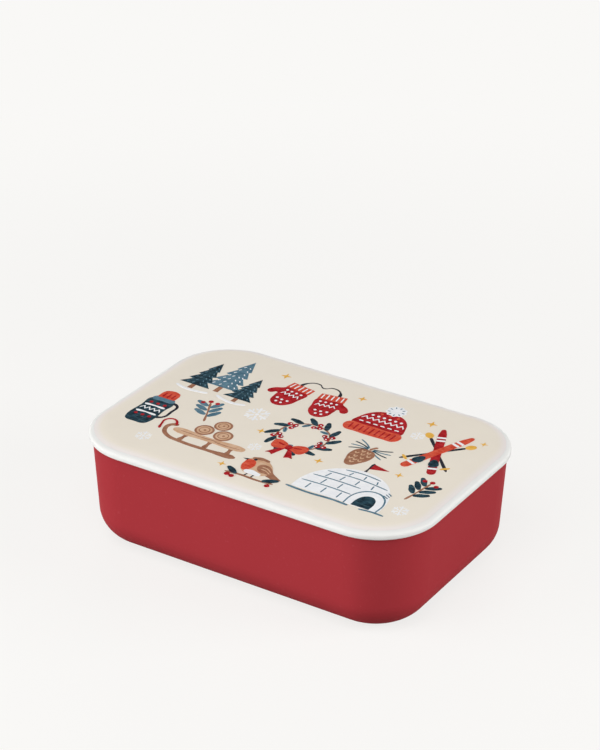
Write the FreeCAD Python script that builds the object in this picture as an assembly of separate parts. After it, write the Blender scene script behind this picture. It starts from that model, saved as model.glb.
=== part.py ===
import FreeCAD
import Part
import math
import os
from FreeCAD import Vector

# A flat lunch box for one meal: a tapered tub with soft corners, a lift-off lid whose plug carries a
# silicone seal, a printed film moulded into the lid's top, and a loose divider that stands between
# rails on the tub's long walls. Millimetres, +X along the length, +Y away from the front, +Z up.
# The origin is the middle of the face that the box stands on.

# Lid seen from above
lid_length = 190.0
lid_width = 128.0
lid_corner_radius = 32.0

# Lid edge and top
lid_edge_height = 5.4
rim_round = 1.7
rim_lower_round = 0.8
rim_lift = 0.45
shoulder_radius = 20.0
lid_plate = 2.6
film_thickness = 0.3
film_edge_inset = 2.6

# Tub
tub_height = 54.0
lid_overhang = 1.75
tub_draft = 3.2
tub_wall = 2.6
tub_floor = 2.8
tub_bottom_radius = 16.5
tub_edge_round = 0.8
foot_land = 2.5
foot_recess = 0.8

# Plug under the lid and the seal round it
plug_depth = 6.4
plug_wall = 2.0
plug_clearance = 0.9
plug_root_round = 1.2
bead_proud = 1.2
bead_height = 1.2
seal_base = 1.1
seal_top_gap = 0.2
seal_wall_gap = 0.25
fin_root = 1.2
fin_tip = 0.6
fin_rise = 0.5
fin_shares = (0.28, 0.72)

# Divider and the rails that hold it
divider_position = 32.0
divider_thickness = 2.2
divider_wall_gap = 0.35
divider_foot_ease = 1.0
divider_rim_drop = 1.0
divider_plug_gap = 1.2
divider_step_round = 2.5
divider_edge_round = 0.6
grip_radius = 1.8
rail_width = 1.6
rail_depth = 2.0
rail_gap = 0.3
rail_top_drop = 9.0
rail_lead_in = 2.5
rail_root = 0.6

# Heights and insets that follow. An inset is measured inwards from the lid's outermost edge.
draft_angle = math.radians(tub_draft)
draft_slope = math.tan(draft_angle)
lid_top = tub_height + lid_edge_height
lid_ceiling = lid_top - lid_plate
plug_bottom = tub_height - plug_depth
bead_top = plug_bottom + bead_height


def wall_inset(height):
    """Inset of the tub's outer wall at a height."""
    return lid_overhang + (tub_height - height) * draft_slope


def inner_inset(height):
    """Inset of the tub's inner wall at a height, with the wall measured square to its face."""
    return wall_inset(height) + tub_wall / math.cos(draft_angle)


bead_inset = inner_inset(plug_bottom) + plug_clearance
plug_outer_inset = bead_inset + bead_proud
plug_inner_inset = plug_outer_inset + plug_wall


class Section:
    """A closed outline in the plane of inset and height, drawn edge by edge."""

    def __init__(self, inset, height):
        self.first = Vector(0, inset, height)
        self.last = self.first
        self.edges = []

    def line(self, inset, height):
        end = Vector(0, inset, height)
        self.edges.append(Part.LineSegment(self.last, end).toShape())
        self.last = end
        return self

    def arc(self, centre_inset, centre_height, inset, height):
        """An arc of less than half a turn from the last point, round a centre."""
        centre = Vector(0, centre_inset, centre_height)
        end = Vector(0, inset, height)
        middle = (self.last - centre) + (end - centre)
        middle.normalize()
        middle = centre + middle * (end - centre).Length
        self.edges.append(Part.Arc(self.last, middle, end).toShape())
        self.last = end
        return self

    def face(self):
        if (self.last - self.first).Length > 1e-7:
            self.line(self.first.y, self.first.z)
        return Part.Face(Part.Wire(self.edges))


def one_solid(pieces):
    """Joins touching pieces and drops the seams between coplanar faces."""
    return pieces[0].multiFuse(pieces[1:]).removeSplitter().Solids[0]


def around_edge(section, core=None):
    """Carries a section round the lid's plan: straight along each side and turned at each corner.

    A section that reaches the corners' own axes leaves the middle open, and core = (low, high) fills
    it between two heights.
    """
    face = section.face()
    radius = lid_corner_radius
    pieces = []
    for turn in range(4):
        run, depth = (lid_length, lid_width) if turn % 2 == 0 else (lid_width, lid_length)
        straight = run - 2 * radius
        start = face.translated(Vector(-straight / 2, -depth / 2, 0))
        side = start.extrude(Vector(straight, 0, 0))
        corner_axis = Vector(straight / 2, radius - depth / 2, 0)
        corner = start.translated(Vector(straight, 0, 0)).revolve(corner_axis, Vector(0, 0, 1), 90)
        for piece in (side, corner):
            piece.rotate(Vector(0, 0, 0), Vector(0, 0, 1), 90 * turn)
            pieces.append(piece)
    if core:
        low, high = core
        size = (lid_length - 2 * radius, lid_width - 2 * radius, high - low)
        pieces.append(Part.makeBox(*size, Vector(-size[0] / 2, -size[1] / 2, low)))
    return one_solid(pieces)


def shoulder_point(arc_radius, sine):
    """A point on an arc about the shoulder's centre, by the sine of its angle from the vertical."""
    inset = shoulder_centre[0] - arc_radius * sine
    height = shoulder_centre[1] + arc_radius * math.sqrt(1 - sine * sine)
    return inset, height


# The shoulder is one large arc, level with the lid's top at its inner end and running smoothly into
# the rim's round at its outer end, so its centre follows from those two.
rim_bottom = tub_height + rim_lift
rim_centre = (rim_round, rim_bottom + rim_round)
shoulder_reach = math.sqrt(
    (shoulder_radius - rim_round) ** 2 - (rim_centre[1] - lid_top + shoulder_radius) ** 2
)
shoulder_centre = (rim_round + shoulder_reach, lid_top - shoulder_radius)
rim_sine = shoulder_reach / (shoulder_radius - rim_round)
film_sine = (shoulder_centre[0] - film_edge_inset) / shoulder_radius


def make_lid():
    """The lid's shell: a recess for the film, a soft rim, a ledge that sits on the tub and the plug.

    The rim's lower edge stays just above the tub's edge, which leaves a fine shadow line between them.
    """
    under_film = shoulder_radius - film_thickness
    axis = lid_corner_radius
    section = Section(axis, lid_top - film_thickness)
    section.line(shoulder_centre[0], lid_top - film_thickness)
    section.arc(*shoulder_centre, *shoulder_point(under_film, film_sine))
    section.line(*shoulder_point(shoulder_radius, film_sine))
    section.arc(*shoulder_centre, *shoulder_point(shoulder_radius, rim_sine))
    section.arc(*rim_centre, 0, rim_centre[1])
    section.line(0, rim_bottom + rim_lower_round)
    section.arc(rim_lower_round, rim_bottom + rim_lower_round, rim_lower_round, rim_bottom)
    section.line(lid_overhang, tub_height)
    section.line(plug_outer_inset, tub_height)
    section.line(plug_outer_inset, bead_top)
    section.line(bead_inset, bead_top)
    section.line(bead_inset, plug_bottom + bead_height / 2)
    section.line(bead_inset + bead_height / 2, plug_bottom)
    section.line(plug_inner_inset, plug_bottom)
    section.line(plug_inner_inset, lid_ceiling - plug_root_round)
    root_inset = plug_inner_inset + plug_root_round
    section.arc(root_inset, lid_ceiling - plug_root_round, root_inset, lid_ceiling)
    section.line(axis, lid_ceiling)
    return around_edge(section, core=(lid_ceiling, lid_top - film_thickness))


def make_print_film():
    """The printed film: a thin skin over the lid's top that turns down with the shoulder."""
    under_film = shoulder_radius - film_thickness
    axis = lid_corner_radius
    section = Section(axis, lid_top)
    section.line(shoulder_centre[0], lid_top)
    section.arc(*shoulder_centre, *shoulder_point(shoulder_radius, film_sine))
    section.line(*shoulder_point(under_film, film_sine))
    section.arc(*shoulder_centre, shoulder_centre[0], lid_top - film_thickness)
    section.line(axis, lid_top - film_thickness)
    return around_edge(section, core=(lid_top - film_thickness, lid_top))


def make_seal():
    """The silicone ring round the plug: a flat band with two fins that lean upwards to the tub's wall."""
    band_inset = plug_outer_inset - seal_base
    seal_top = tub_height - seal_top_gap
    section = Section(plug_outer_inset, bead_top)
    section.line(band_inset, bead_top)
    for share in fin_shares:
        middle = bead_top + share * (seal_top - bead_top)
        tip_height = middle + fin_rise
        tip_inset = inner_inset(tip_height) + seal_wall_gap
        section.line(band_inset, middle - fin_root / 2)
        section.line(tip_inset + fin_tip / 2, tip_height - fin_tip / 2)
        section.arc(tip_inset + fin_tip / 2, tip_height, tip_inset, tip_height)
        section.arc(tip_inset + fin_tip / 2, tip_height, tip_inset + fin_tip / 2, tip_height + fin_tip / 2)
        section.line(band_inset, middle + fin_root / 2)
    section.line(band_inset, seal_top)
    section.line(plug_outer_inset, seal_top)
    return around_edge(section)


def bowl_corner(wall_line, floor_height, radius):
    """Where an arc that joins a drafted wall to a flat floor leaves the wall, its centre and its foot."""
    centre_height = floor_height + radius
    start_height = centre_height - radius * math.sin(draft_angle)
    start_inset = wall_line(start_height)
    centre_inset = start_inset + radius * math.cos(draft_angle)
    return (start_inset, start_height), (centre_inset, centre_height), (centre_inset, floor_height)


def make_tub():
    """The tub: one wall and floor section carried round the plan, with the divider's rails added."""
    axis = lid_corner_radius
    outer_start, outer_centre, outer_foot = bowl_corner(wall_inset, 0, tub_bottom_radius)
    inner_radius = tub_bottom_radius - tub_wall
    inner_start, inner_centre, inner_foot = bowl_corner(inner_inset, tub_floor, inner_radius)
    land_inset = outer_foot[0] + foot_land
    edge_height = tub_height - tub_edge_round
    section = Section(axis, foot_recess)
    section.line(land_inset + foot_recess, foot_recess)
    section.line(land_inset, 0)
    section.line(*outer_foot)
    section.arc(*outer_centre, *outer_start)
    section.line(wall_inset(edge_height), edge_height)
    outer_edge = wall_inset(edge_height) + tub_edge_round
    section.arc(outer_edge, edge_height, outer_edge, tub_height)
    inner_edge = inner_inset(edge_height) - tub_edge_round
    section.line(inner_edge, tub_height)
    section.arc(inner_edge, edge_height, inner_inset(edge_height), edge_height)
    section.line(*inner_start)
    section.arc(*inner_centre, *inner_foot)
    section.line(axis, tub_floor)
    body = around_edge(section, core=(foot_recess, tub_floor))
    return one_solid([body] + make_rails(inner_radius, inner_centre))


def make_rails(round_radius, round_centre):
    """Two upright rails on each long wall, rooted in the wall and dying out in the round above the floor.

    Seen in section, the root runs inside the wall at one depth, first straight and then about the
    centre of the floor's round, until the rail's drafted front meets it.
    """
    cosine, sine = math.cos(draft_angle), math.sin(draft_angle)
    root_radius = round_radius + rail_root
    front_distance = round_radius - rail_depth * cosine
    tip_distance = math.sqrt(root_radius**2 - front_distance**2)
    tip_inset = round_centre[0] - front_distance * cosine + tip_distance * sine
    tip_height = round_centre[1] - front_distance * sine - tip_distance * cosine
    top = tub_height - rail_top_drop
    front_top = top - rail_lead_in
    section = Section(tip_inset, tip_height)
    section.line(inner_inset(front_top) + rail_depth, front_top)
    section.line(inner_inset(top), top)
    section.line(inner_inset(top) - rail_root / cosine, top)
    section.line(round_centre[0] - root_radius * cosine, round_centre[1] - root_radius * sine)
    section.arc(*round_centre, tip_inset, tip_height)
    blade = section.face().extrude(Vector(rail_width, 0, 0))
    inner_face = divider_thickness / 2 + rail_gap
    rails = []
    for start in (divider_position - inner_face - rail_width, divider_position + inner_face):
        rail = blade.translated(Vector(start, -lid_width / 2, 0))
        rails.append(rail)
        rails.append(rail.mirror(Vector(0, 0, 0), Vector(0, 1, 0)))
    return rails


def make_divider():
    """The loose divider: a plate shaped to the tub, stepped down at both ends to clear the lid's plug."""

    def edge_inset(height):
        return inner_inset(height) + divider_wall_gap

    foot_radius = tub_bottom_radius - tub_wall + divider_foot_ease
    start, centre, foot = bowl_corner(edge_inset, tub_floor, foot_radius)
    step_height = plug_bottom - divider_plug_gap
    neck_inset = plug_inner_inset + divider_plug_gap
    top = tub_height - divider_rim_drop
    middle = lid_width / 2
    half = Section(middle, tub_floor)
    half.line(*foot)
    half.arc(*centre, *start)
    half.line(edge_inset(step_height), step_height)
    half.line(neck_inset - divider_step_round, step_height)
    turn_height = step_height + divider_step_round
    half.arc(neck_inset - divider_step_round, turn_height, neck_inset, turn_height)
    half.line(neck_inset, top - divider_step_round)
    top_inset = neck_inset + divider_step_round
    half.arc(top_inset, top - divider_step_round, top_inset, top)
    half.line(middle, top)
    plate = half.face().extrude(Vector(divider_thickness, 0, 0))
    plate.translate(Vector(divider_position - divider_thickness / 2, -lid_width / 2, 0))
    plate = one_solid([plate, plate.mirror(Vector(0, 0, 0), Vector(0, 1, 0))])
    plate = round_rim_of_plate(plate, divider_edge_round)
    return one_solid([plate, make_grip(top, top_inset)])


def round_rim_of_plate(plate, radius):
    """Rounds the plate's outline on both broad faces, apart from the foot that stands on the floor."""

    def on_broad_face(edge):
        return edge.BoundBox.XLength < 1e-6

    def above_floor(edge):
        return edge.BoundBox.ZMax > tub_floor + 1e-6

    rim = [edge for edge in plate.Edges if on_broad_face(edge) and above_floor(edge)]
    return plate.makeFillet(radius, rim)


def make_grip(top, top_inset):
    """A round bar along the divider's top edge, with ball ends, to lift it by."""
    reach = lid_width / 2 - top_inset - grip_radius
    height = top - grip_radius
    bar = Part.makeCylinder(grip_radius, 2 * reach, Vector(divider_position, -reach, height), Vector(0, 1, 0))
    ends = [Part.makeSphere(grip_radius, Vector(divider_position, y, height)) for y in (-reach, reach)]
    return one_solid([bar] + ends)


def main():
    os.makedirs("parts", exist_ok=True)
    pieces = {
        "tub": make_tub(),
        "divider": make_divider(),
        "lid": make_lid(),
        "lid_print_film": make_print_film(),
        "lid_seal": make_seal(),
    }
    for name, solid in pieces.items():
        solid.exportStep(f"parts/{name}.step")
        box = solid.optimalBoundingBox()
        size = f"{box.XLength:.2f} x {box.YLength:.2f} x {box.ZLength:.2f} mm"
        print(f"{name}: {size}, {solid.Volume / 1000:.2f} cm3, valid {solid.isValid()}")


main()
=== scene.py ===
# %% [markdown]
# A lunch box, dressed in Blender
#
# The box is a red moulded tub with a white lid. The lid's top is covered by a printed film, and a
# silicone seal and a loose divider sit inside. The exact solids come from CAD, so this lesson keeps
# their shapes and gives each one its real finish. Then it draws the print on the lid, piece by piece.

import math

import bpy
from mathutils import Matrix, Vector


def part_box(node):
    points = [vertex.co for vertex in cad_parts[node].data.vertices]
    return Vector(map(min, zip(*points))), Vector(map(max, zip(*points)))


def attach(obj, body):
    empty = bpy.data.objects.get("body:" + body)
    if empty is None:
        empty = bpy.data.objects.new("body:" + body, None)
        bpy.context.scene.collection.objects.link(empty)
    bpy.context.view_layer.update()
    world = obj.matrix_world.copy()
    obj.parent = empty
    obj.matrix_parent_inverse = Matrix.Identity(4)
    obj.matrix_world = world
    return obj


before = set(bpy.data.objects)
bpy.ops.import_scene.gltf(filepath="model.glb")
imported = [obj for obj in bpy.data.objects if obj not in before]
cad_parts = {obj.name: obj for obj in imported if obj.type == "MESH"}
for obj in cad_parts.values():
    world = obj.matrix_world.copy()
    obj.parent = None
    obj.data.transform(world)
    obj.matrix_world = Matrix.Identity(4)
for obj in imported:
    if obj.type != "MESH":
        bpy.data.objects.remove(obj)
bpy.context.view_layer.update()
lid_low, lid_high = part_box("lid")
film_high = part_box("lid_print_film")[1]
tub_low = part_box("tub")[0]
mm = 0.001
print("lid", [round(size / mm, 1) for size in lid_high - lid_low], "mm")
print("film top at", round(film_high.z / mm, 2), "mm")

# %% [markdown]
# The camera stands to the right of the front, about 30 degrees up, and more than a metre away with a
# long lens, so that the sides hardly converge. It aims above the box, which puts the box in the lower
# half of the picture, and it is rolled by a fraction of a degree.

# %% Camera
camera_azimuth = 32.39
camera_elevation = 29.93
camera_distance = 1187 * mm
camera_roll = math.radians(0.38)
lens_length = 116.3
sensor_side = 36.0
box_middle = Vector((0, 0, 30 * mm))
aim_point = Vector((0.2 * mm, 0.1 * mm, 90.5 * mm))


def direction(azimuth, elevation):
    """The way out from the box, from degrees: azimuth 0 is the front and 90 the right."""
    turn = math.radians(azimuth)
    lift = math.radians(elevation)
    return Vector((math.sin(turn) * math.cos(lift), -math.cos(turn) * math.cos(lift), math.sin(lift)))


camera_data = bpy.data.cameras.new("camera")
camera_data.lens = lens_length
camera_data.sensor_fit = "VERTICAL"
camera_data.sensor_height = sensor_side
camera = bpy.data.objects.new("camera", camera_data)
bpy.context.scene.collection.objects.link(camera)
camera.location = box_middle + camera_distance * direction(camera_azimuth, camera_elevation)
look = (camera.location - aim_point).to_track_quat("Z", "Y").to_matrix()
camera.rotation_euler = (look @ Matrix.Rotation(camera_roll, 3, "Z")).to_euler()
bpy.context.scene.camera = camera
print("camera at", [round(value, 3) for value in camera.location])

# %% [markdown]
# Every colour below is written as it looks on screen, as an sRGB hex value. Blender's shaders work in
# linear light, so one function converts it. A second one adds a shader node, sets its properties and
# sets or links its sockets, which keeps each material a short list.

# %% Colour and node helpers
def linear(hex_colour):
    """An sRGB hex colour as the linear colour that a shader socket takes."""
    channels = [int(hex_colour[place:place + 2], 16) / 255 for place in (1, 3, 5)]
    return [c / 12.92 if c <= 0.04045 else ((c + 0.055) / 1.055) ** 2.4 for c in channels] + [1.0]


def add_node(tree, kind, inputs=None, **settings):
    """Adds a node with its settings; an input is either a value or another node's output."""
    node = tree.nodes.new(kind)
    for name, value in settings.items():
        setattr(node, name, value)
    for socket, value in (inputs or {}).items():
        if isinstance(value, bpy.types.NodeSocket):
            tree.links.new(value, node.inputs[socket])
        else:
            node.inputs[socket].default_value = value
    return node


def new_material(name):
    """An empty material and its node tree."""
    material = bpy.data.materials.new(name)
    material.use_nodes = True
    material.node_tree.nodes.clear()
    return material, material.node_tree


print("the grey #808080 is", round(linear("#808080")[0], 3), "in linear light")

# %% [markdown]
# The stage is a sheet of pale studio paper. In a studio it would curve up behind the object, but a plane
# this large already reaches past the edges of the picture, and the backdrop above it has its colour.

# %% Floor
floor_side = 8.0
bpy.ops.object.select_all(action="DESELECT")
bpy.ops.mesh.primitive_plane_add(size=floor_side, location=(0, 0, tub_low.z))
floor = bpy.context.object
floor.name = "floor"
print("floor", floor_side, "m square")

# %% [markdown]
# A white sheet would throw much light back up at the box, so light that bounces meets a mid grey, while
# the camera sees the paper's own even colour and, round the box, a share of its soft shadow. The Light
# Path node tells the shader which kind of ray is asking.

# %% Studio paper
backdrop_colour = linear("#F9F8F6")
table_colour = linear("#747270")
shadow_share = 0.17
# In metres from the box's middle: up to the first the shadow has its whole share, at the second none.
shadow_reach = 0.25
shadow_end = 0.6


def ray_kinds(tree):
    """Two outputs: does the ray come from the camera, and does it come off a mirroring or clear surface?"""
    rays = add_node(tree, "ShaderNodeLightPath").outputs
    mirror_ray = add_node(
        tree, "ShaderNodeMath", {0: rays["Is Glossy Ray"], 1: rays["Is Transmission Ray"]},
        operation="MAXIMUM",
    )
    return rays["Is Camera Ray"], mirror_ray.outputs["Value"]


paper, tree = new_material("pale_studio_paper")
camera_ray, mirror_ray = ray_kinds(tree)
place = add_node(tree, "ShaderNodeTexCoord").outputs["Object"]
from_box = add_node(tree, "ShaderNodeVectorMath", {0: place}, operation="LENGTH")
plain_share = add_node(
    tree, "ShaderNodeMapRange",
    {"Value": from_box.outputs["Value"], "From Min": shadow_reach, "From Max": shadow_end,
     "To Min": 1 - shadow_share, "To Max": 1.0},
    interpolation_type="SMOOTHSTEP",
)
table = add_node(tree, "ShaderNodeBsdfDiffuse", {"Color": table_colour})
shaded = add_node(tree, "ShaderNodeBsdfDiffuse", {"Color": backdrop_colour})
plain = add_node(tree, "ShaderNodeEmission", {"Color": backdrop_colour, "Strength": 1.0})
bounced = add_node(
    tree, "ShaderNodeMixShader", {"Fac": mirror_ray, 1: table.outputs["BSDF"], 2: shaded.outputs["BSDF"]}
)
seen = add_node(
    tree, "ShaderNodeMixShader",
    {"Fac": plain_share.outputs["Result"], 1: shaded.outputs["BSDF"], 2: plain.outputs["Emission"]},
)
both = add_node(
    tree, "ShaderNodeMixShader",
    {"Fac": camera_ray, 1: bounced.outputs["Shader"], 2: seen.outputs["Shader"]},
)
add_node(tree, "ShaderNodeOutputMaterial", {"Surface": both.outputs["Shader"]})
floor.data.materials.append(paper)
print("floor wears", paper.name)

# %% [markdown]
# One lamp would leave the far walls black, so five soft boxes stand round the box, as they do behind the
# cloth of a light tent. A large one at the front left and one on the right light a wall each, and the
# round corner between those walls falls a little darker. A low one fills in there, one above lights the
# lid's top, and one serves the left and back. The satin surfaces mirror the pale tent and not the lamps,
# so no hot spots lie on them. The watts are set so that a colour renders about as it is written.

# %% Soft boxes
def soft_box(name, azimuth, elevation, distance, width, height, watts):
    """A rectangular lamp, sized in metres, that faces the box from a direction in degrees."""
    lamp_data = bpy.data.lights.new(name, "AREA")
    lamp_data.shape = "RECTANGLE"
    lamp_data.size = width
    lamp_data.size_y = height
    lamp_data.energy = watts
    lamp = bpy.data.objects.new(name, lamp_data)
    lamp.visible_glossy = False
    bpy.context.scene.collection.objects.link(lamp)
    away = direction(azimuth, elevation)
    lamp.location = box_middle + distance * away
    lamp.rotation_euler = away.to_track_quat("Z", "Y").to_euler()
    print(name, "at", [round(value, 2) for value in lamp.location])


soft_box("left_soft_box", azimuth=-47, elevation=12, distance=1.6, width=1.3, height=0.4, watts=21.0)
soft_box("right_soft_box", azimuth=112, elevation=20, distance=1.6, width=0.9, height=0.4, watts=15.6)
soft_box("front_soft_box", azimuth=48, elevation=8, distance=1.3, width=0.7, height=0.25, watts=3.7)
soft_box("top_soft_box", azimuth=10, elevation=58, distance=1.0, width=0.7, height=0.7, watts=4.7)
soft_box("back_soft_box", azimuth=-150, elevation=10, distance=1.7, width=1.0, height=0.5, watts=12.5)

# %% [markdown]
# The world is the cloth of the tent. It lights the box weakly and evenly from all sides, which fills the
# shadows. The camera, and every surface that mirrors the tent, sees it in the backdrop's colour.

# %% Light tent
fill_strength = 0.12

world = bpy.data.worlds.new("studio")
bpy.context.scene.world = world
world.use_nodes = True
tree = world.node_tree
tree.nodes.clear()
camera_ray, mirror_ray = ray_kinds(tree)
fill = add_node(tree, "ShaderNodeBackground", {"Color": linear("#FFFFFF"), "Strength": fill_strength})
backdrop = add_node(tree, "ShaderNodeBackground", {"Color": backdrop_colour, "Strength": 1.0})
shows_backdrop = add_node(tree, "ShaderNodeMath", {0: camera_ray, 1: mirror_ray}, operation="MAXIMUM")
surroundings = add_node(
    tree, "ShaderNodeMixShader",
    {"Fac": shows_backdrop.outputs["Value"], 1: fill.outputs["Background"],
     2: backdrop.outputs["Background"]},
)
add_node(tree, "ShaderNodeOutputWorld", {"Surface": surroundings.outputs["Shader"]})
bpy.context.scene.view_settings.view_transform = "Standard"
print("tent fills in at", fill_strength, "of the backdrop's strength")

# %% [markdown]
# Whatever comes out of a mould keeps a trace of the mould's surface, even of a polished one. The grain
# could be modelled, but it is finer than any mesh here. So noise tilts the surface's normal instead, and
# one function does that for the fibre resin, the film and the seal.

# %% Mould grain
# The real grain is about 0.1 mm; it is drawn coarser, to show.
mould_grain = 0.5 * mm


def mould_normal(tree, place, strength, depth):
    """The grain that a polished mould leaves, as a normal for the shader."""
    grain = add_node(tree, "ShaderNodeTexNoise", {"Vector": place, "Scale": 1 / mould_grain, "Detail": 2.0})
    bump = add_node(
        tree, "ShaderNodeBump", {"Height": grain.outputs["Fac"], "Strength": strength, "Distance": depth}
    )
    return bump.outputs["Normal"]


print("mould grain", round(mould_grain / mm, 2), "mm")

# %% [markdown]
# The tub, the lid and the divider are compression moulded from plant fibre and resin. That gives a satin
# surface, smooth to the hand, with soft clouds and short pale and dark fibres just under it. These could
# be painted in a picture, but a picture has seams. Noise has none, so a broad noise gives the clouds and
# a stretched one the fibres. One function makes the material in any colour.

# %% Moulded fibre and resin
# Real fibres are about 0.1 mm wide; they are drawn coarser, to show.
fleck_length = 1.6 * mm
fleck_width = 0.35 * mm
fleck_turn = (0.5, 0.8, 0.4)
fleck_start = 0.62
fleck_full = 0.78
fleck_strength = 0.35
cloud_size = 45 * mm
roughness_drift = 0.04
resin_ior = 1.5
even_scatter = (1, 1, 1)
lid_scatter = 0.8 * mm


def moulded_fibre(name, colour, fleck_colour, cloud_colour, roughness, gloss, glow=0.0):
    """Satin moulded plant-fibre resin: an even colour, soft clouds, sparse flecks and a fine grain."""
    material, tree = new_material(name)
    place = add_node(tree, "ShaderNodeTexCoord").outputs["Object"]
    clouds = add_node(
        tree, "ShaderNodeTexNoise",
        {"Vector": place, "Scale": 1 / cloud_size, "Detail": 3.0, "Roughness": 0.5},
    )
    cloudy = add_node(
        tree, "ShaderNodeMix",
        {"Factor": clouds.outputs["Fac"], "A": linear(colour), "B": linear(cloud_colour)},
        data_type="RGBA",
    )
    stretched = add_node(
        tree, "ShaderNodeMapping",
        {"Vector": place, "Rotation": fleck_turn, "Scale": (1, fleck_length / fleck_width, 1)},
    )
    fibres = add_node(
        tree, "ShaderNodeTexNoise",
        {"Vector": stretched.outputs["Vector"], "Scale": 1 / fleck_length, "Detail": 2.0, "Roughness": 0.6},
    )
    sparse = add_node(
        tree, "ShaderNodeMapRange",
        {"Value": fibres.outputs["Fac"], "From Min": fleck_start, "From Max": fleck_full,
         "To Max": fleck_strength},
    )
    flecked = add_node(
        tree, "ShaderNodeMix",
        {"Factor": sparse.outputs["Result"], "A": cloudy.outputs[2], "B": linear(fleck_colour)},
        data_type="RGBA",
    )
    satin = add_node(
        tree, "ShaderNodeMapRange",
        {"Value": clouds.outputs["Fac"], "To Min": roughness - roughness_drift,
         "To Max": roughness + roughness_drift},
    )
    shader = add_node(tree, "ShaderNodeBsdfPrincipled", {
        "Base Color": flecked.outputs[2], "Roughness": satin.outputs["Result"],
        "Normal": mould_normal(tree, place, strength=0.06, depth=0.05 * mm), "IOR": resin_ior,
        "Specular IOR Level": gloss, "Subsurface Weight": glow, "Subsurface Radius": even_scatter,
        "Subsurface Scale": lid_scatter,
    })
    add_node(tree, "ShaderNodeOutputMaterial", {"Surface": shader.outputs["BSDF"]})
    return material


print("flecks", round(fleck_length / mm, 2), "mm long, clouds", round(cloud_size / mm), "mm across")

# %% [markdown]
# A CAD solid keeps its mesh and only changes its material. The red tub is the dullest of the three. The
# white lid lets light in under its surface, which softens its edge, and the divider is left undyed.

# %% Tub, lid and divider
def dress(node_name, material):
    """Gives a CAD solid its finish."""
    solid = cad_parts[node_name]
    solid.data.materials.clear()
    solid.data.materials.append(material)
    print(node_name, "wears", material.name)


dress("tub", moulded_fibre("red_fibre_resin", "#A9373D", "#B64F55", "#A5353B", roughness=0.6, gloss=0.04))
dress("lid", moulded_fibre(
    "white_fibre_resin", "#E8E8E6", "#DEDBD4", "#E4E4E1", roughness=0.45, gloss=0.1, glow=0.6
))
dress("divider", moulded_fibre(
    "pale_fibre_resin", "#E9E3D8", "#D8CDBB", "#E4DDD0", roughness=0.42, gloss=0.3
))

# %% [markdown]
# The film is printed and moulded into the lid, so it is as smooth as the lid and lies flush with it. Its
# warm ground fades to the lid's white along the edge. A painted mask could do that, but it would fit one
# size of lid only. So the distance from the lid's outline, which is a rectangle with round corners, is
# worked out from Object coordinates and drives the fade.

# %% Distance from the lid's edge
lid_corner_radius = 32 * mm
fade_start = lid_high.x - film_high.x
fade_end = 7.0 * mm

film_material, tree = new_material("printed_film")
place = add_node(tree, "ShaderNodeTexCoord").outputs["Object"]
plan = add_node(tree, "ShaderNodeVectorMath", {0: place, 1: (1, 1, 0)}, operation="MULTIPLY")
mirrored = add_node(tree, "ShaderNodeVectorMath", {0: plan.outputs["Vector"]}, operation="ABSOLUTE")
corner_middle = (lid_high.x - lid_corner_radius, lid_high.y - lid_corner_radius, 0)
past_corner = add_node(
    tree, "ShaderNodeVectorMath", {0: mirrored.outputs["Vector"], 1: corner_middle}, operation="SUBTRACT"
)
outwards = add_node(
    tree, "ShaderNodeVectorMath", {0: past_corner.outputs["Vector"], 1: (0, 0, 0)}, operation="MAXIMUM"
)
reach = add_node(tree, "ShaderNodeVectorMath", {0: outwards.outputs["Vector"]}, operation="LENGTH")
edge_distance = add_node(
    tree, "ShaderNodeMath", {0: lid_corner_radius, 1: reach.outputs["Value"]}, operation="SUBTRACT"
)
ground_share = add_node(
    tree, "ShaderNodeMapRange",
    {"Value": edge_distance.outputs["Value"], "From Min": fade_start, "From Max": fade_end},
    interpolation_type="SMOOTHSTEP",
)
print("ground fades in from", round(fade_start / mm, 1), "to", round(fade_end / mm, 1), "mm off the edge")

# %% [markdown]
# The ground is one pale ink over the whole film. A flat print is never quite even, so noise lets its
# colour and its satin drift a little. The colour of the film's edge is a shade warmer than the white lid.

# %% Printed film
ground_colour = "#EBE3D5"
mottle_colour = "#E7DED0"
edge_colour = "#E9E2DF"
print_mottle = 14 * mm
film_roughness = 0.45
film_gloss = 0.1

mottle = add_node(tree, "ShaderNodeTexNoise", {"Vector": place, "Scale": 1 / print_mottle, "Detail": 6.0})
ground = add_node(
    tree, "ShaderNodeMix",
    {"Factor": mottle.outputs["Fac"], "A": linear(ground_colour), "B": linear(mottle_colour)},
    data_type="RGBA",
)
faded = add_node(
    tree, "ShaderNodeMix",
    {"Factor": ground_share.outputs["Result"], "A": linear(edge_colour), "B": ground.outputs[2]},
    data_type="RGBA",
)
satin = add_node(
    tree, "ShaderNodeMapRange",
    {"Value": mottle.outputs["Fac"], "To Min": film_roughness - roughness_drift,
     "To Max": film_roughness + roughness_drift},
)
shader = add_node(tree, "ShaderNodeBsdfPrincipled", {
    "Base Color": faded.outputs[2], "Roughness": satin.outputs["Result"], "IOR": resin_ior,
    "Specular IOR Level": film_gloss, "Normal": mould_normal(tree, place, strength=0.05, depth=0.04 * mm),
})
add_node(tree, "ShaderNodeOutputMaterial", {"Surface": shader.outputs["BSDF"]})
dress("lid_print_film", film_material)

# %% [markdown]
# The print is a winter pattern in the manner of gouache: flat shapes in a few thick inks, one laid over
# the other. A gouache ink isn't one even colour. It drifts between a thick and a thin wash, and it
# breaks into dry streaks where the brush ran out, so two noises mix three tones in every ink. Gouache
# dries matt, so it mirrors less of the tent than the bare film does, and dark inks stay dark.

# %% Gouache
wash_size = 4 * mm
wash_thick = 0.4
wash_thin = 0.6
streak_length = 6 * mm
streak_width = 0.7 * mm
dry_start = 0.5
dry_full = 0.72
dry_strength = 0.65
brush_turn = math.radians(24)
brush_relief = 0.04 * mm
ink_gloss = 0.02


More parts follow.
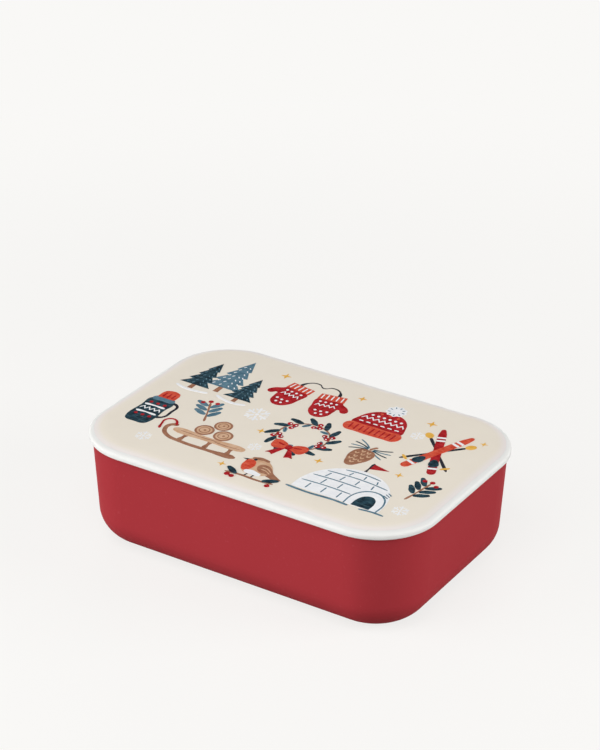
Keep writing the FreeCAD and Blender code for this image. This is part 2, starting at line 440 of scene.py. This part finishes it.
def gouache(name, thick, thin, dry):
    """A painted ink: a wash that drifts from thick to thin, with dry streaks along the brush."""
    material, tree = new_material(name)
    place = add_node(tree, "ShaderNodeTexCoord").outputs["Object"]
    wash = add_node(
        tree, "ShaderNodeTexNoise",
        {"Vector": place, "Scale": 1 / wash_size, "Detail": 5.0, "Roughness": 0.7},
    )
    wash_share = add_node(
        tree, "ShaderNodeMapRange",
        {"Value": wash.outputs["Fac"], "From Min": wash_thick, "From Max": wash_thin},
    )
    washed = add_node(
        tree, "ShaderNodeMix",
        {"Factor": wash_share.outputs["Result"], "A": linear(thick), "B": linear(thin)},
        data_type="RGBA",
    )
    along = add_node(
        tree, "ShaderNodeMapping",
        {"Vector": place, "Rotation": (0, 0, brush_turn), "Scale": (1, streak_length / streak_width, 1)},
    )
    streaks = add_node(
        tree, "ShaderNodeTexNoise",
        {"Vector": along.outputs["Vector"], "Scale": 1 / streak_length, "Detail": 4.0, "Roughness": 0.7},
    )
    dry_share = add_node(
        tree, "ShaderNodeMapRange",
        {"Value": streaks.outputs["Fac"], "From Min": dry_start, "From Max": dry_full,
         "To Max": dry_strength},
    )
    painted = add_node(
        tree, "ShaderNodeMix",
        {"Factor": dry_share.outputs["Result"], "A": washed.outputs[2], "B": linear(dry)},
        data_type="RGBA",
    )
    sheen = add_node(
        tree, "ShaderNodeMapRange",
        {"Value": wash.outputs["Fac"], "To Min": film_roughness - roughness_drift,
         "To Max": film_roughness + roughness_drift},
    )
    bump = add_node(
        tree, "ShaderNodeBump",
        {"Height": streaks.outputs["Fac"], "Strength": 0.05, "Distance": brush_relief},
    )
    shader = add_node(tree, "ShaderNodeBsdfPrincipled", {
        "Base Color": painted.outputs[2], "Roughness": sheen.outputs["Result"], "IOR": resin_ior,
        "Specular IOR Level": ink_gloss, "Normal": bump.outputs["Normal"],
    })
    add_node(tree, "ShaderNodeOutputMaterial", {"Surface": shader.outputs["BSDF"]})
    return material


print("streaks", round(streak_length / mm, 1), "by", round(streak_width / mm, 1), "mm")

# %% [markdown]
# Nine inks are enough for the whole print. A few inks that return in every motif also hold a pattern
# together. Each has three tones: the thick wash, the thin wash and the dry streak.

# %% Inks
ink_tones = {
    "red": ("#930D18", "#B3232C", "#CF524A"),
    "orange": ("#C23D2B", "#D5563F", "#E58469"),
    "teal": ("#0C1F2A", "#26424F", "#5A7B84"),
    "slate": ("#48697B", "#5D7F90", "#86A2AE"),
    "snow": ("#F4F4F5", "#ECEDF0", "#E0E1E6"),
    "bark": ("#8E5F49", "#A2735A", "#BD9278"),
    "tan": ("#C79D7C", "#D3AF91", "#E0C6AC"),
    "soot": ("#1E1F27", "#2B2C36", "#4A4B54"),
    "straw": ("#DEA541", "#E7B656", "#F0CB7E"),
}
inks = {ink: gouache(ink + "_gouache", *tones) for ink, tones in ink_tones.items()}
print("inks", ", ".join(inks))

# %% [markdown]
# Each shape of the print is a closed outline in millimetres, and a list of outlines makes one ink layer.
# The pens below give the outlines that hand drawing uses: a smooth line through points, a line with
# sharp corners, a dot, and a brush stroke that is full in the middle and thin at its ends.

# %% Pens
dab_points = 6
dab_turn = 10


def smooth(*points):
    """An outline that runs smoothly through its points."""
    return [(x, y, "AUTO") for x, y in points]


def sharp(*points):
    """An outline with a corner at each point."""
    return [(x, y, "VECTOR") for x, y in points]


def dot(x, y, radius, tall=1.0):
    """A round or oval dab."""
    angles = [math.radians(360 / dab_points * step + dab_turn) for step in range(dab_points)]
    return smooth(*[(x + radius * math.cos(a), y + radius * tall * math.sin(a)) for a in angles])


print("a dab has", len(dot(0, 0, 1)), "points")

# %% Brush strokes, zigzags and copies
def brush(width, *path, tip=0.4):
    """A brush stroke along a path, thinner at both ends."""
    left, right = [], []
    for place, (x, y) in enumerate(path):
        before = path[max(place - 1, 0)]
        after = path[min(place + 1, len(path) - 1)]
        run, rise = after[0] - before[0], after[1] - before[1]
        half = width / 2 / math.hypot(run, rise)
        if place in (0, len(path) - 1):
            half = half * tip
        left.append((x - rise * half, y + run * half))
        right.append((x + rise * half, y - run * half))
    return smooth(*left, *reversed(right))


def zigzag(start, end, y, height, teeth, width):
    """A zigzag band from one x to another."""
    step = (end - start) / (2 * teeth)
    low = [(start + step * place, y + height * (place % 2)) for place in range(2 * teeth + 1)]
    high = [(x, level + width) for x, level in reversed(low)]
    return sharp(*low, *high)


def moved(outlines, x=0.0, y=0.0, turn=0.0, flip=1):
    """The same outlines mirrored where flip is -1, then turned and moved."""
    c, s = math.cos(math.radians(turn)), math.sin(math.radians(turn))
    return [
        [(x + flip * px * c - py * s, y + flip * px * s + py * c, kind) for px, py, kind in outline]
        for outline in outlines
    ]


print("a zigzag of 4 teeth has", len(zigzag(0, 8, 0, 1, 4, 1)), "points")

# %% [markdown]
# A layer of ink could be a flat plane, but two planes at one height flicker. So every layer is a thin
# slab, a fiftieth of a millimetre higher than the layer under it, as thick ink really is. Blender fills
# a flat curve by itself: the outlines go into one curve, it is given a depth, and it is made a mesh.

# %% Layer of ink
ink_step = 0.02 * mm
ink_bite = 0.02 * mm
line_smoothness = 5


def ink_layer(name, level, ink, outlines):
    """One layer as a flat filled curve whose lower face lies just inside the film."""
    curve = bpy.data.curves.new(name, "CURVE")
    curve.dimensions = "2D"
    curve.fill_mode = "BOTH"
    curve.resolution_u = line_smoothness
    for outline in outlines:
        spline = curve.splines.new("BEZIER")
        spline.bezier_points.add(len(outline) - 1)
        spline.use_cyclic_u = True
        for knot, (x, y, kind) in zip(spline.bezier_points, outline):
            knot.co = (x * mm, y * mm, 0)
            knot.handle_left_type = kind
            knot.handle_right_type = kind
    top = (level + 1) * ink_step
    curve.extrude = (top + ink_bite) / 2
    curve.materials.append(inks[ink])
    layer = bpy.data.objects.new(name, curve)
    layer.location.z = film_high.z + (top - ink_bite) / 2
    bpy.context.scene.collection.objects.link(layer)
    return layer


print("layers of ink rise by", ink_step / mm, "mm")

# %% [markdown]
# A motif is printed from its lowest ink to its highest. Its layers could stay separate objects, but they
# never come apart, so they are joined to one piece. The piece rides on the lid wherever the lid goes.

# %% Printing press
merge_distance = 0.001 * mm


def print_motif(name, middle, layers, turn=0.0):
    """Prints a motif's layers in order at a place on the lid, and joins them to one piece."""
    sheets = []
    for level, (ink, outlines) in enumerate(layers):
        sheets.append(ink_layer(name, level, ink, moved(outlines, *middle, turn)))
    bpy.ops.object.select_all(action="DESELECT")
    for sheet in sheets:
        sheet.select_set(True)
    bpy.context.view_layer.objects.active = sheets[0]
    bpy.ops.object.convert(target="MESH")
    bpy.ops.object.join()
    bpy.ops.object.transform_apply(location=True, rotation=True, scale=True)
    bpy.ops.object.mode_set(mode="EDIT")
    bpy.ops.mesh.select_all(action="SELECT")
    bpy.ops.mesh.remove_doubles(threshold=merge_distance)
    bpy.ops.mesh.normals_make_consistent(inside=False)
    bpy.ops.object.mode_set(mode="OBJECT")
    piece = bpy.context.object
    piece.name = name
    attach(piece, "lid")
    print(name, len(sheets), "layers", len(piece.data.polygons), "faces")


print("points closer than", merge_distance / mm, "mm are merged")

# %% [markdown]
# Three firs stand at the back left. A fir is a stack of tiers, each narrower than the one below, so one
# function walks up its right side and mirrors that to the left. The needles are rows of short strokes.

# %% Fir outline
tier_rise = 0.22
tier_shrink = 0.2
notch_rise = 0.2
notch_depth = 0.5


def fir(x, base, tall, wide, tiers=4):
    """A fir's outline: points at the tiers' tips, notches between them."""
    side = []
    for tier in range(tiers):
        half = wide / 2 * (1 - tier_shrink * tier)
        low = base + tier_rise * tall * tier
        side.append((half, low))
        side.append((half * notch_depth, low + notch_rise * tall))
    side[-1] = (0, base + tall)
    # Drawn by hand, the left side comes out a little narrower and higher.
    right = [(x + away, y) for away, y in side]
    left = [(x - away * 0.96, y + 0.3) for away, y in reversed(side[:-1])]
    return sharp(*right, *left)


print("a fir has", len(fir(0, 0, 30, 20)), "corners")

# %% Fir needles
needle_width = 0.55
needle_lean = 0.9
wide_row = (-0.7, -0.2, 0.3, 0.75)
narrow_row = (-0.65, 0.6)
wide_rows = 4
# Shares of a fir's height and half width: its lowest row of needles, and the change from row to row.
lowest_row = 0.06
row_rise = 0.115
lowest_half = 0.72
row_shrink = 0.095


def needles(x, base, tall, wide, rows=7):
    """Rows of short strokes inside a fir that slant outwards, with fewer of them in the upper rows."""
    strokes = []
    for row in range(rows):
        y = base + tall * (lowest_row + row_rise * row)
        half = wide / 2 * (lowest_half - row_shrink * row)
        for share in (wide_row if row < wide_rows else narrow_row):
            middle = x + half * share
            lean = math.copysign(needle_lean, share)
            path = [(middle, y + 1.3), (middle + lean * 0.5, y + 0.6), (middle + lean, y)]
            strokes.append(brush(needle_width, *path))
    return strokes


print("a fir has", len(needles(0, 0, 30, 20)), "strokes for its needles")

# %% Fir trees
middle_fir = (1, -8, 32, 22)
left_fir = (-12, -13, 27, 18)
right_fir = (14.3, -14, 24, 17)
print_motif("print_firs", middle=(-59, 26), layers=[
    ("bark", [sharp((-13.4, -17), (-10.6, -17), (-10.8, -11), (-13.2, -11)),
              sharp((-0.4, -13.5), (2.6, -13.5), (2.3, -6), (-0.2, -6)),
              sharp((13, -17.5), (15.6, -17.5), (15.4, -12), (13.2, -12))]),
    ("slate", [fir(*middle_fir)]),
    ("teal", [fir(*left_fir), fir(*right_fir)]),
    ("snow", needles(*middle_fir)),
    ("slate", needles(*left_fir) + needles(*right_fir)),
    ("snow", [brush(1.6, (-20, -16.6), (-14, -18.4), (-5, -18), (-1, -17)),
              brush(1.5, (4, -16.2), (9, -18.2), (16, -19), (22, -17.4))]),
])

# %% [markdown]
# A pair of mittens hangs from its cord. Both could be drawn, but a knitted pair is one pattern made twice,
# so one mitten is drawn, and the other one is its mirror image. The points of the outlines are mirrored
# before they become a mesh, because a mesh with a negative scale has its faces inside out.

# %% Mittens
mitten = [smooth((-6.4, 6), (-7, -2), (-5.4, -9.4), (-0.6, -12.6), (4.2, -10.4), (6.2, -4.4), (7.2, -1.6),
                 (9.6, -4), (12.2, -3.2), (11.6, 0.6), (7.6, 4.2), (6.4, 6))]
cuff = [sharp((-7.2, 5.6), (7.2, 5.6), (6.9, 11.4), (-6.9, 11.2))]
knit = [zigzag(-5.6, 5.2, -1.6, 2.0, 4, 1.0), dot(-3.2, -6, 0.75), dot(0, -6.4, 0.75), dot(3.2, -6, 0.75),
        dot(-1.6, -9.2, 0.7), dot(1.4, -9.2, 0.7), dot(-4.4, 3.2, 0.7), dot(-1.5, 3.2, 0.7),
        dot(1.5, 3.2, 0.7), dot(4.4, 3.2, 0.7)]
ribs = [brush(0.7, (x, 6.2), (x * 0.99, 8.6), (x * 0.97, 10.8)) for x in (-5.4, -2.7, 0, 2.7, 5.4)]


def both_hands(outlines):
    """The outlines for the right mitten and for the left one."""
    return moved(outlines, 10.5, -1, 8) + moved(outlines, -10.5, -1, -8, flip=-1)


mitten_cord = [(-11.5, 10), (-9, 15), (-4, 16.6), (0, 14), (4, 16.6), (9, 15), (11.5, 10)]
print_motif("print_mittens", middle=(-14, 31), layers=[
    ("soot", [brush(0.9, *mitten_cord, tip=1)]),
    ("red", both_hands(mitten)),
    ("orange", both_hands(cuff)),
    ("snow", both_hands(knit + ribs)),
])

# %% [markdown]
# The bobble hat has a knitted crown, a turned-up brim with ribs, and a tufted bobble. Single stitches
# would be too small to see, so a zigzag and rows of dots stand for the knitting. The tufts are a circle
# whose radius goes in and out, and the brim's right half is mirrored to the left.

# %% Bobble hat
bobble_height = 14.6
tuft_depth = 0.7
tufts = [math.radians(20 * step) for step in range(18)]
bobble_edge = []
for step, a in enumerate(tufts):
    dip = tuft_depth * (step % 2)
    bobble_edge.append(((5.6 - dip) * math.cos(a), bobble_height + (5.4 - dip) * math.sin(a)))
bobble = smooth(*bobble_edge)
crown = smooth((-13.4, -6), (-13, 1), (-9.6, 7.8), (-4, 11.2), (4, 11.2), (9.6, 7.8), (13, 1), (13.4, -6))
half_brim = [(7, -5.2), (14.8, -6), (14.6, -12.2), (7, -13.4)]
brim = smooth(*half_brim, *[(-x, y) for x, y in reversed(half_brim)])
stitches = [brush(0.9, (x - 1.2, -2.4), (x, -2.2), (x + 1.2, -2.4)) for x in range(-10, 11, 4)]
yarn_ends = []
for a in tufts[::2]:
    path = [(away * math.cos(a), bobble_height + away * math.sin(a)) for away in (3, 3.7, 4.4)]
    yarn_ends.append(brush(0.5, *path))
print_motif("print_hat", middle=(29, 29), layers=[
    ("red", [crown]),
    ("snow", [bobble, zigzag(-11.8, 11.8, 0.4, 2.2, 7, 1.1)] + stitches),
    ("snow", [dot(x, 5.6, 0.8) for x in (-8, -4.8, -1.6, 1.6, 4.8, 8)]),
    ("orange", [brim] + [dot(x, 8.6, 0.8) for x in (-4.6, 0, 4.6)]),
    ("red", [brush(0.8, (x, -6.4), (x * 0.99, -9.4), (x * 0.97, -12.2)) for x in range(-12, 13, 3)]),
    ("slate", yarn_ends),
])

# %% [markdown]
# Skis and poles cross at the back right. The crossing shapes lie over each other, so each ski is a layer
# of its own. A ski is a long plank whose tip runs to a soft point.

# %% Skis and poles
ski_tip = smooth((1.7, 19.4), (0, 23), (-1.7, 19.4))
ski_tail = smooth((-1.2, -21.6), (1.2, -21.6))
ski = [sharp((2.2, -20), (2.2, 15)) + ski_tip + sharp((-2.2, 15), (-2.2, -20)) + ski_tail]
ski_bands = [sharp((-2.2, y), (2.2, y), (2.2, y + 1.5), (-2.2, y + 1.5)) for y in (-17, -14, 10.6, 13.6)]
binding = [smooth((-1.7, -3.4), (1.7, -3.4), (1.8, 1.8), (0, 3.4), (-1.8, 1.8))]
shaft = [brush(1.1, (0, -19), (0, 0), (0, 15), tip=0.7)]
grip = [smooth((-1, 14.6), (-1.2, 19.4), (1.2, 19.4), (1, 14.6)), dot(0, -16.4, 2.6, 0.3)]
pole_turn = 42
ski_turn = 21
ski_layers = [
    ("soot", moved(shaft, turn=pole_turn)),
    ("soot", moved(shaft, turn=-pole_turn)),
    ("straw", moved(grip, turn=pole_turn) + moved(grip, turn=-pole_turn)),
]
for side, ink in ((1, "red"), (-1, "orange")):
    ski_layers += [
        (ink, moved(ski, turn=side * ski_turn)),
        ("snow", moved(ski_bands, turn=side * ski_turn)),
        ("teal", moved(binding, side * 3.9, -10.2, side * ski_turn)),
    ]
print_motif("print_skis", middle=(66, 19), layers=ski_layers)

# %% [markdown]
# A wreath fills the middle. Its leaves are one almond shape, copied round a ring and leaning outwards or
# inwards by turns. The ring itself is two circles in one layer: where one outline lies inside another,
# the filled curve leaves a hole.

# %% Wreath
leaf = [smooth((0, 0), (2.4, 1.5), (5.4, 1.3), (8.2, 0), (5.4, -1.5), (2.4, -1.3))]
small_leaf = [smooth((0.4, 0), (1.8, 1.0), (3.6, 0.9), (5.4, 0), (3.6, -1.0), (1.8, -0.9))]
ring = 13.0


def on_ring(outlines, angle, away, lean):
    """Outlines set on the wreath's ring at an angle, turned to follow it and leaning by some degrees."""
    a = math.radians(angle)
    return moved(outlines, away * math.cos(a), away * math.sin(a), angle + 90 + lean)


berries = [dot(0, 0, 1.5), dot(2.9, 1.0, 1.35), dot(1.3, -2.9, 1.35)]
glints = [dot(-0.3, 0.4, 0.45), dot(2.6, 1.4, 0.4), dot(1.0, -2.5, 0.4)]
bow = [smooth((-0.6, 1.2), (-4, 4.2), (-8.4, 4.6), (-9.4, 0.6), (-7.4, -3), (-3.4, -2.4), (-0.6, -0.8)),
       smooth((1, 1.2), (4.4, 4.4), (8.8, 4.4), (9.6, 0.4), (7.4, -3.2), (3.6, -2.2), (1, -0.8))]
tails = [sharp((-0.6, -1), (-3.4, -9.8), (-5.2, -8.4), (-7.4, -9), (-2.6, -1.2)),
         sharp((0.8, -1), (3.2, -9.4), (5.2, -8.2), (7.4, -8.4), (2.6, -1.2))]
knot = [
    dot(0.2, 0.2, 1.8, 1.2),
    brush(0.8, (-6.6, 2), (-4.4, 1.4), (-2.6, 0.8)),
    brush(0.8, (2.8, 0.8), (4.6, 1.4), (6.8, 1.8)),
]
leaf_vein = [brush(0.45, (1, 0), (2.8, 0.1), (4.6, 0))]
outer_leaves, inner_leaves, veins = [], [], []
for angle in range(0, 360, 30):
    outer_leaves += on_ring(leaf, angle, ring, -38)
    inner_leaves += on_ring(small_leaf, angle + 12, ring, 44)
    veins += on_ring(leaf_vein, angle + 12, ring, 44)
ring_berries, ring_glints = [], []
for angle in (20, 78, 140, 198, 338):
    ring_berries += on_ring(berries, angle, ring - 1.2, 10)
    ring_glints += on_ring(glints, angle, ring - 1.2, 10)
print_motif("print_wreath", middle=(4, -3), layers=[
    ("bark", [dot(0, 0, ring + 0.5), dot(0, 0, ring - 0.5)]),
    ("teal", outer_leaves),
    ("slate", inner_leaves),
    ("teal", veins),
    ("red", ring_berries),
    ("snow", ring_glints),
    ("red", moved(tails, 0, -ring)),
    ("orange", moved(bow, 0, -ring)),
    ("red", moved(knot, 0, -ring)),
])

# %% [markdown]
# A sledge carries three logs. Its runner is one long brush stroke, because bent wood keeps its width round
# the bend. The cut end of a log is a dark bark disc, a pale wood disc, and a thin growth ring with a dot
# in its middle. The growth ring is two circles in one layer, as the wreath's ring is.

# %% Sledge and logs
log_ends = [(-6.4, 7.6, 4.9), (4.6, 7.4, 4.9), (-0.8, 15.8, 4.6)]
growth = []
for x, y, radius in log_ends:
    growth += [dot(x, y, radius * 0.58), dot(x, y, radius * 0.48), dot(x + 0.2, y, 0.7)]
runner = [(-20, 5), (-23.4, 3.2), (-23.4, -1.6), (-19, -6.2), (-10, -8), (6, -8.2), (21, -7.6)]
seat = [(-18.6, -0.8), (0, -1.2), (20.6, -0.8), (21.4, 0.9), (20.4, 2.6), (0, 2.4), (-19, 2.8), (-20, 1)]
legs = []
for x, lean in ((-10.6, -1), (3, 0), (15, 0.8)):
    legs.append(brush(1.8, (x, 0), (x + lean / 2, -3.4), (x + lean, -7.4), tip=1))
wood_lines = [brush(0.45, (-16, 1.2), (-6, 0.8), (5, 1.1)), brush(0.45, (4, 0.3), (12, 0), (19, 0.4))]
print_motif("print_sledge", middle=(-33, -31), layers=[
    ("bark", [brush(2.3, *runner, tip=0.8)]),
    ("bark", legs),
    ("tan", [smooth(*seat)]),
    ("bark", [dot(x, y, radius) for x, y, radius in log_ends] + wood_lines),
    ("tan", [dot(x, y, radius * 0.78) for x, y, radius in log_ends]),
    ("bark", growth),
    ("red", [brush(1.0, (-20.6, 4.4), (-24.4, 8.6), (-28.2, 6.8), (-27.6, 1.4), (-26.4, -2.4), tip=0.6)]),
])

# %% [markdown]
# The igloo is the largest white shape of the print. Its blocks could be many small shapes, but a painter
# draws their joints on one white dome: long curved strokes for the courses and short ones between them,
# set off by about half a block from row to row.

# %% Igloo
courses = [
    brush(0.7, (-22.6, -6.6), (-10, -6), (4.4, -6.6)),
    brush(0.7, (-20.6, 0.2), (-8, 0.8), (5.4, 0.4)),
    brush(0.7, (-16.4, 6.6), (-4, 7.4), (7, 7), (16.8, 5.6)),
    brush(0.7, (-9.6, 11.8), (0, 12.6), (9.8, 11.4)),
]
joints = []
for x, low, tall, lean in (
    (-17, -12.6, 5, 0.3), (-8.6, -12.6, 5.2, 0.2), (0, -12.6, 5.2, 0), (-13, -5.4, 4.8, 0.6),
    (-4, -5.2, 4.8, 0.3), (-14.6, 1.4, 4.2, 1), (-7, 1.8, 4.2, 0.7), (1.4, 1.8, 4.2, 0.2),
    (10, 2, 3.6, -0.4), (-5.6, 8.2, 3, 0.7), (2.4, 8.2, 3.2, -0.2), (10, 7.4, 2.6, -0.9),
):
    joints.append(brush(0.65, (x, low), (x + lean / 2, low + tall / 2), (x + lean, low + tall)))
shade = []
for step in range(3):
    y = 3.6 - 1.5 * step
    path = [(18.6 - 0.5 * step, y), (19.8 - 0.3 * step, y - 0.7), (21 - 0.1 * step, y - 1.6)]
    shade.append(brush(0.55, *path))


def arch(left, right, foot, *crown):
    """A shape with two square feet and a round crown."""
    return sharp((left, foot)) + smooth(*crown) + sharp((right, foot))


dome_crown = [(-23.4, -4), (-18.4, 6.4), (-9, 13.4), (1, 15), (11.4, 12), (19, 4.4), (22.6, -5)]
dome = arch(-24, 23.4, -14, *dome_crown)
porch = arch(4.6, 22.6, -14.4, (4.8, -6.4), (8.4, -0.4), (13.6, 1.4), (18.8, -0.4), (22.4, -6.4))
porch_face = arch(5.4, 21.8, -14.6, (5.6, -6.6), (9, -1.2), (13.6, 0.5), (18.2, -1.2), (21.6, -6.6))
doorway = arch(8.8, 18.4, -14.4, (9, -8.4), (10.8, -4.8), (13.6, -3.6), (16.4, -4.8), (18.2, -8.4))
print_motif("print_igloo", middle=(48, -31), layers=[
    ("soot", [brush(0.9, (-1, 13), (-1, 18), (-1, 24), tip=0.8)]),
    ("red", [sharp((-0.6, 23.6), (8.6, 21.4), (-0.6, 18.4))]),
    ("snow", [dome]),
    ("slate", courses + joints + shade),
    ("slate", [porch]),
    ("snow", [porch_face]),
    ("teal", [doorway]),
    ("slate", [brush(1.1, (-26, -15), (-14, -15.8), (0, -15.2), (8, -15.8)),
               brush(0.9, (14, -16), (21, -15.2), (27, -15.6))]),
])

# %% [markdown]
# A flask stands at the left edge: a teal body with a knitted-looking band, an orange cup and a handle. The
# body is round, so it looks the same on both sides, and only its right half is written down.

# %% Flask
half_body = [(0, -16.4), (5, -16), (6.6, -14), (6.8, 0), (6.2, 9)]
body = smooth(*half_body, *[(-x, y) for x, y in reversed(half_body[1:])])
cup = sharp((-4.9, 11), (4.9, 11)) + smooth((4.6, 16.6), (3.4, 18.4), (-3.4, 18.4), (-4.6, 16.6))
flask_bands = [brush(0.9, (-5.8, y), (0, y + 0.3), (5.8, y), tip=0.8) for y in (1.6, -6)]
print_motif("print_flask", middle=(-74, -18), layers=[
    ("soot", [brush(1.5, (4.6, 8), (9.4, 7.4), (10.4, 1), (9.6, -6), (4.6, -7.6), tip=1)]),
    ("teal", [body]),
    ("slate", [smooth((-6.2, 8.4), (-4.8, 11.6), (4.8, 11.6), (6.2, 8.4), (0, 7.8))]),
    ("orange", [cup]),
    ("snow", [zigzag(-5.8, 5.8, -3.4, 2.2, 4, 1.1)] + flask_bands),
    ("red", [dot(x, y, 0.95) for x in (-4, 0, 4) for y in (4.4, -8.8)]),
    ("red", [brush(0.8, (x, 12), (x, 14), (x, 16.2)) for x in (-2.6, 0, 2.6)]),
])

# %% [markdown]
# A robin sits on a twig in front. Birds of this kind are round, so one plump outline gives body and head,
# and the breast, belly and wing are laid over it.

# %% Robin
bird = [
    (-8.6, 4.6), (-6, 8.2), (-1.2, 8.6), (2.8, 6), (6.4, 2.4), (8, -1.8), (5.6, -5.6), (0, -7.4),
    (-5.8, -6), (-8.8, -1.6), (-9, 2),
]
breast = [(-8.6, 4.2), (-5.6, 5), (-3, 2), (-3, -2.6), (-5.4, -5.4), (-8.3, -2.4), (-9, 1)]
belly = [(-4.8, -5.6), (-2.4, -3.6), (2, -4.2), (4.6, -5.8), (0.2, -7.3)]
wing = [(-0.6, 2.8), (3.8, 3.4), (8.8, -1), (11.6, -4.2), (6.2, -3.4), (1, -2.6)]
cap = [(-7.6, 6.4), (-5.4, 8.3), (-1.2, 8.6), (1.6, 7), (-2, 6.6)]
feet = [
    brush(0.7, (-1.6, -6.6), (-1.9, -8.4), (-2.2, -9.8), tip=1),
    brush(0.7, (1.8, -6.8), (1.7, -8.4), (1.6, -9.8), tip=1),
]
beak = sharp((-8.4, 5.4), (-11.8, 4.2), (-8.4, 3.4))
tail = sharp((6, 0.4), (15.4, -4.8), (14.2, -7.2), (5, -4.4))
perch = brush(1.4, (-12, -10.8), (-4, -10), (6, -10.4), (14, -9.6))
feathers = [
    brush(0.6, (1.2, 1.4), (4, 1.2), (7.4, -1.2)),
    brush(0.6, (1.8, -0.6), (4.6, -1), (7.6, -2.6)),
]
print_motif("print_robin", middle=(3, -40), layers=[
    ("soot", feet + [beak]),
    ("bark", [tail, perch]),
    ("tan", [smooth(*bird)]),
    ("orange", [smooth(*breast)]),
    ("snow", [smooth(*belly)]),
    ("bark", [smooth(*wing), smooth(*cap)]),
    ("tan", feathers),
    ("soot", [dot(-5.4, 5.7, 0.85)]),
    ("teal", moved(leaf, 8, -10, 32) + moved(leaf, -6, -10.4, 150)),
    ("red", [dot(-9.6, -12.6, 1.4), dot(-6.8, -13.2, 1.3), dot(12.4, -12.2, 1.3)]),
])

# %% [markdown]
# Small things fill the gaps. A snowflake and a four-pointed star are drawn once and set down several
# times. Arms of a flake start a little away from its middle, because the outlines of one layer may not
# cross.

# %% Snowflakes and stars
def snowflake(x, y, size):
    """Six arms with a pair of twigs each, round a dot."""
    arm = [brush(0.16 * size, (0, 0.26 * size), (0, 0.6 * size), (0, size), tip=0.7)]
    for side in (-1, 1):
        path = [(side * away * size, up * size) for away, up in ((0.14, 0.62), (0.25, 0.74), (0.36, 0.84))]
        arm.append(brush(0.13 * size, *path))
    flake = [dot(0, 0, 0.15 * size)]
    for turn in range(0, 360, 60):
        flake += moved(arm, turn=turn)
    return moved(flake, x, y, 12)


star_waist = 0.34


def star(x, y, size):
    """A four-pointed star with hollow sides."""
    points = []
    for step in range(8):
        away = size if step % 2 == 0 else star_waist * size
        a = math.radians(45 * step + 8)
        points.append((x + away * math.cos(a), y + away * math.sin(a)))
    return [sharp(*points)]


flakes = []
for x, y, size in ((-27, 4, 6.5), (50, 28, 3.8), (79, -38, 4.2), (-10, -24, 3.6), (-61, -44, 4.2)):
    flakes += snowflake(x, y, size)
stars = []
for x, y, size in (
    (-37, 46, 3), (8, 46, 2.6), (50, 42, 3), (-16, -9, 2.6), (-14, -46, 2.4), (81, 38, 2.2),
    (23, -19, 2.6), (62, -10, 2.4),
):
    stars += star(x, y, size)
print_motif("print_flakes_and_stars", middle=(0, 0), layers=[("snow", flakes), ("straw", stars)])

# %% [markdown]
# The pine cone hangs from a twig. Its scales are rows of short bent strokes. The needles fan out to both
# sides in two inks by turns, because neighbours would cross in one layer.

# %% Pine cone
cone = [smooth((0, 7), (-4.4, 5.6), (-6, 1), (-4.6, -5), (0, -10.6), (4.6, -5), (6, 1), (4.4, 5.6))]
twig = [brush(1.2, (0, 7.4), (0.4, 9.4), (1.6, 11.4), tip=0.8)]
scales = []
scale_rows = {4.4: (-1.6, 1.6), 1.6: (-3.5, 0, 3.5), -1.4: (-1.9, 1.9), -4.2: (-2.7, 0, 2.7), -7: (0,)}
for y, row in scale_rows.items():
    for x in row:
        scales.append(brush(0.8, (x - 1.0, y + 0.8), (x, y - 0.5), (x + 1.0, y + 0.8)))
cone_needles = []
for lean in (-116, -98, -80, -62, 62, 80, 98, 116):
    cone_needles += moved([brush(0.75, (0, 1.4), (0.5, 6), (0, 11))], 0, 8, lean)
print_motif("print_pine_cone", middle=(37, -4), layers=[
    ("slate", cone_needles[::2]),
    ("teal", cone_needles[1::2]),
    ("bark", cone),
    ("bark", twig),
    ("tan", scales),
], turn=-8)

# %% [markdown]
# A sprig is a stem with three pairs of the wreath's leaves and three berries. Two sprigs are printed, and
# their leaves have an ink each.

# %% Sprigs
sprig_leaves = []
for step in range(3):
    y = -5 + 4.4 * step
    sprig_leaves += moved(leaf, 0.6, y, 42) + moved(leaf, -0.6, y + 1.8, 138)
sprig_stem = [brush(0.8, (0, -10), (0.2, -2), (0, 9), tip=0.7)]
sprig_berries = [dot(0, 10.4, 1.3), dot(-3.8, 9.4, 1.2), dot(3.6, 8.6, 1.2)]

for name, middle, turn, ink in (
    ("print_sprig_left", (-49, -7), 24, "slate"), ("print_sprig_right", (77, -18), -10, "teal"),
):
    print_motif(name, middle, [("bark", sprig_stem), (ink, sprig_leaves), ("red", sprig_berries)], turn)

# %% [markdown]
# The seal is cast silicone: milky, a little see-through at its thin fins, and matt from the mould. A
# transmission shader would make it glassy, so light is scattered under its surface instead.

# %% Silicone seal
haze_size = 3 * mm
seal_smoothest = 0.44
seal_roughest = 0.54
silicone_ior = 1.41
seal_scatter = 1.5 * mm

silicone, tree = new_material("milky_silicone")
place = add_node(tree, "ShaderNodeTexCoord").outputs["Object"]
haze = add_node(tree, "ShaderNodeTexNoise", {"Vector": place, "Scale": 1 / haze_size, "Detail": 2.0})
milky = add_node(
    tree, "ShaderNodeMix",
    {"Factor": haze.outputs["Fac"], "A": linear("#E6E5E1"), "B": linear("#DDDCD7")},
    data_type="RGBA",
)
matt = add_node(
    tree, "ShaderNodeMapRange",
    {"Value": haze.outputs["Fac"], "To Min": seal_smoothest, "To Max": seal_roughest},
)
shader = add_node(tree, "ShaderNodeBsdfPrincipled", {
    "Base Color": milky.outputs[2], "Roughness": matt.outputs["Result"], "IOR": silicone_ior,
    "Normal": mould_normal(tree, place, strength=0.05, depth=0.04 * mm), "Subsurface Weight": 0.3,
    "Subsurface Radius": even_scatter, "Subsurface Scale": seal_scatter,
})
add_node(tree, "ShaderNodeOutputMaterial", {"Surface": shader.outputs["BSDF"]})
dress("lid_seal", silicone)
